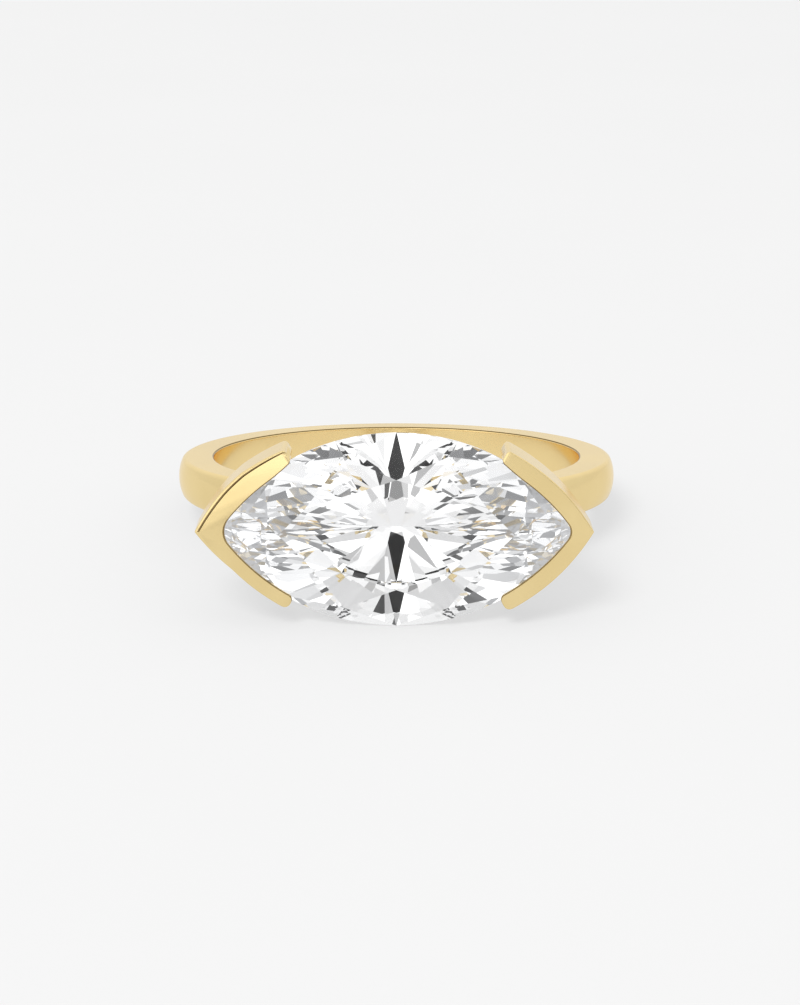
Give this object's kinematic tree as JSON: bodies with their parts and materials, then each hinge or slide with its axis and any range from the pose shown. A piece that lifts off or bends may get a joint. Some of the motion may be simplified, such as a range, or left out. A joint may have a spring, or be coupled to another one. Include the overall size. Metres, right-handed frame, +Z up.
{
  "type": "marquise ring",
  "caption": "Finger ring with a plain rounded band and one large marquise stone held lengthwise across the finger by V-shaped end caps, lying on its side.",
  "frame": {"origin": "centre of the footprint on the table that the ring lies on", "axes": "+Z up, +X along the stone's long axis, and the stone faces -Y, raised by the ring's resting tilt of 8.0 degrees"},
  "size_m": [0.02, 0.025, 0.0081],
  "materials": {
    "gold": "polished",
    "stone": "polished"
  },
  "bodies": {
    "root": {"gold_mount": "gold", "marquise_stone": "stone"}
  },
  "joints": []
}
